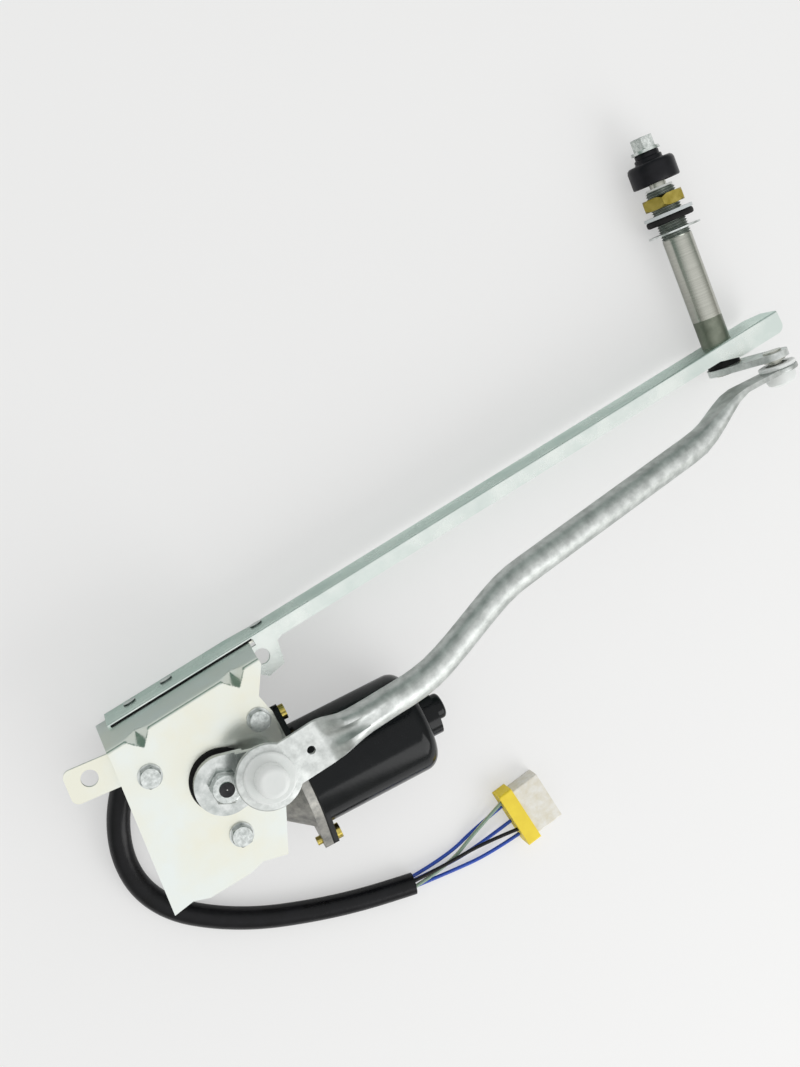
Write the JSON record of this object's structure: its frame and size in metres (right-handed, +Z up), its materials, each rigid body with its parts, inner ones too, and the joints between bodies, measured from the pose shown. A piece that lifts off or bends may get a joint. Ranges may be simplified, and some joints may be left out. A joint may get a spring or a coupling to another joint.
{
  "type": "windshield wiper drive assembly",
  "caption": "Wiper motor and worm gearbox on a folded sheet bracket, with a crank, a bent tubular link and a long threaded wiper pivot on a support bar, and a wired plug.",
  "frame": {"origin": "on the ground below the centre of the assembly's box, without the harness", "axes": "+X along the support bar towards the wiper pivot, +Y along the pivot towards the wiper arm, +Z up from the ground through the crank's side of the bracket"},
  "size_m": [0.5018, 0.3335, 0.1191],
  "materials": {
    "zinc_plate": "bright zinc plated sheet",
    "galvanised": "dull galvanised steel",
    "zinc_hardware": "zinc plated fasteners",
    "cast_aluminium": "cast",
    "black_paint": "semi-gloss black",
    "black_rubber": "matt",
    "yellow_zinc": "yellow passivated",
    "steel": "machined",
    "brass": "plain",
    "white_nylon": "milky",
    "yellow_plastic": "moulded",
    "black_plastic": "satin",
    "black_pvc": "soft sleeve",
    "blue_pvc": "wire insulation",
    "striped_pvc": "pale wire insulation with a stripe",
    "copper": "enamelled copper and brushes",
    "ferrite": "ferrite magnet"
  },
  "bodies": {
    "base": {"bracket_plate": "zinc_plate", "support_bar": "zinc_plate", "web_rivets": "zinc_hardware", "motor_bolts": "zinc_hardware", "bolt_washers": "zinc_hardware", "gear_housing": "cast_aluminium", "gear_cover": "zinc_hardware", "cover_screws": "zinc_hardware", "collar_seal": "black_rubber", "lead_grommet": "black_rubber", "flange_gasket": "black_rubber", "motor_can": "black_paint", "can_screws": "yellow_zinc", "field_magnets": "ferrite", "brush_plate": "white_nylon", "brushes": "copper", "worm_bearing": "steel", "end_bearing": "steel", "thrust_screw": "steel", "output_bush": "brass", "pivot_tube": "steel", "inner_bush": "steel", "outer_bush": "steel", "brass_ring": "brass", "steel_washer": "zinc_hardware", "rubber_washer": "black_rubber", "panel_washer": "white_nylon", "lock_nut": "yellow_zinc", "harness_sleeve": "black_pvc", "wire_blue_1": "blue_pvc", "wire_blue_2": "blue_pvc", "wire_blue_3": "blue_pvc", "wire_striped": "striped_pvc", "wire_black": "black_pvc", "plug_retainer": "yellow_plastic", "plug_housing": "white_nylon", "plug_terminals": "steel"},
    "armature": {"armature_axle": "steel", "armature_core": "steel", "armature_windings": "copper", "commutator": "copper"},
    "crank": {"worm_wheel": "white_nylon", "output_shaft": "steel", "shaft_spacer": "steel", "crank_arm": "zinc_plate", "crank_ball_stud": "steel", "spring_washer": "zinc_hardware", "crank_nut": "zinc_hardware"},
    "pivot": {"pivot_shaft": "steel", "lever_arm": "galvanised", "lever_ball_stud": "steel", "pivot_seal": "black_rubber", "shaft_circlip": "steel", "shaft_cap": "black_plastic", "arm_nut": "zinc_hardware"},
    "link": {"link_rod": "galvanised", "crank_socket": "white_nylon", "lever_socket": "white_nylon"}
  },
  "joints": [
    {"name": "crank_spin", "type": "hinge", "parent": "base", "child": "crank", "pos_m": [-0.178, -0.049, 0.03], "axis": [0, 0, 1], "continuous": true},
    {"name": "armature_spin", "type": "hinge", "parent": "base", "child": "armature", "pos_m": [-0.18135, -0.08082, 0.03], "axis": [0.9945, -0.1045, 0], "continuous": true},
    {"name": "pivot_swing", "type": "hinge", "parent": "base", "child": "pivot", "pos_m": [0.2089, -0.002, 0.0165], "axis": [0.1167, 0.9932, 0], "range_deg": [-75, 0]},
    {"name": "link_swivel", "type": "hinge", "parent": "pivot", "child": "link", "pos_m": [0.21987, -0.03068, 0.04847], "axis": [0.1167, 0.9932, 0], "range_deg": [0, 78]}
  ],
  "couplings": [
    {"joint": "armature_spin", "follows": "crank_spin", "ratio": 48},
    {"joint": "link_swivel", "follows": "pivot_swing", "ratio": -1.04}
  ]
}
